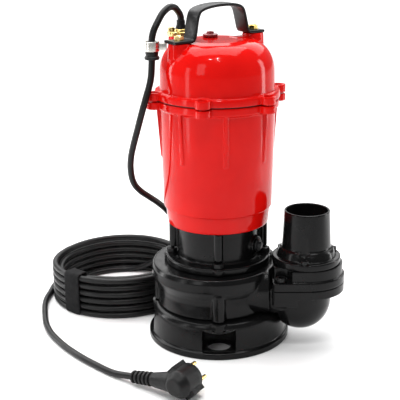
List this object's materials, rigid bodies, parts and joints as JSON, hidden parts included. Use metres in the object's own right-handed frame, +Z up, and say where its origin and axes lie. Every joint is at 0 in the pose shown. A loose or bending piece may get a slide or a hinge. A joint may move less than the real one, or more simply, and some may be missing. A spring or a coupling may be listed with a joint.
{
  "type": "submersible sewage pump",
  "caption": "Upright submersible dirty-water pump: red motor shell on a black cast volute and stand, elbow with check valve and hose tail, strap handle, coiled lead and plug.",
  "frame": {"origin": "on the floor under the middle of the pump with its outlet, the free lead left out", "axes": "+Z up along the motor shaft; +X towards the outlet elbow; -Y is the front that the check valve's long side and the plug face"},
  "size_m": [0.4023, 0.429, 0.42],
  "materials": {
    "red_paint": "glossy enamel over cast metal",
    "black_paint": "semi-gloss enamel over rough sand-cast iron",
    "black_steel": "satin black coating",
    "brass": "polished, yellow",
    "zinc": "bright zinc plating",
    "steel": "machined",
    "electric_steel": "stacked laminations",
    "copper": "varnished winding wire",
    "rubber": "matt",
    "ceramic": "lapped ceramic",
    "plastic": "moulded",
    "iron": "as cast"
  },
  "bodies": {
    "pump": {"base_stand": "black_paint", "bearing_bracket": "iron", "cable_clamp": "zinc", "cable_grommet": "rubber", "capacitor": "plastic", "chamber_screw_1": "black_steel", "chamber_screw_2": "black_steel", "chamber_screw_3": "black_steel", "chamber_screw_4": "black_steel", "coil_tie": "rubber", "cord_coil": "rubber", "cord_drop": "rubber", "cord_lead": "rubber", "cover_gasket": "rubber", "cover_screw_1": "zinc", "cover_screw_2": "zinc", "cover_screw_3": "zinc", "cover_screw_4": "zinc", "cover_screw_5": "zinc", "cover_screw_6": "zinc", "discharge_elbow": "black_paint", "flap_pin": "steel", "gland_bush": "rubber", "gland_plate": "brass", "gland_screw_1": "brass", "gland_screw_2": "brass", "handle": "black_steel", "handle_nut_1": "brass", "handle_nut_2": "brass", "hose_tail": "black_paint", "lower_bearing_outer_ring": "steel", "lower_end_shield": "red_paint", "motor_casing": "red_paint", "motor_top_cover": "red_paint", "oil_chamber": "black_paint", "oil_plug": "black_steel", "plug_body": "rubber", "plug_pin_1": "brass", "plug_pin_2": "brass", "seal_seat": "ceramic", "stator_core": "electric_steel", "suction_plate": "iron", "upper_bearing_outer_ring": "steel", "valve_bolt_1": "black_steel", "valve_bolt_2": "black_steel", "valve_cover": "black_paint", "vent_plug": "red_paint", "volute_casing": "black_paint", "winding_lower": "copper", "winding_upper": "copper"},
    "rotor": {"shaft": "steel", "impeller": "iron", "suction_cutter": "steel", "impeller_nut": "steel", "seal_rotating": "steel", "rotor_core": "electric_steel", "lower_bearing_inner_ring": "steel", "upper_bearing_inner_ring": "steel"},
    "flap": {"valve_flap": "rubber"}
  },
  "joints": [
    {"name": "rotor_spin", "type": "hinge", "parent": "pump", "child": "rotor", "pos_m": [-0.0335, 0, 0.15], "axis": [0, 0, 1], "continuous": true},
    {"name": "check_valve_flap", "type": "hinge", "parent": "pump", "child": "flap", "pos_m": [0.0465, -0.03, 0.0873], "axis": [0, -1, 0], "range_deg": [0, 38]}
  ]
}
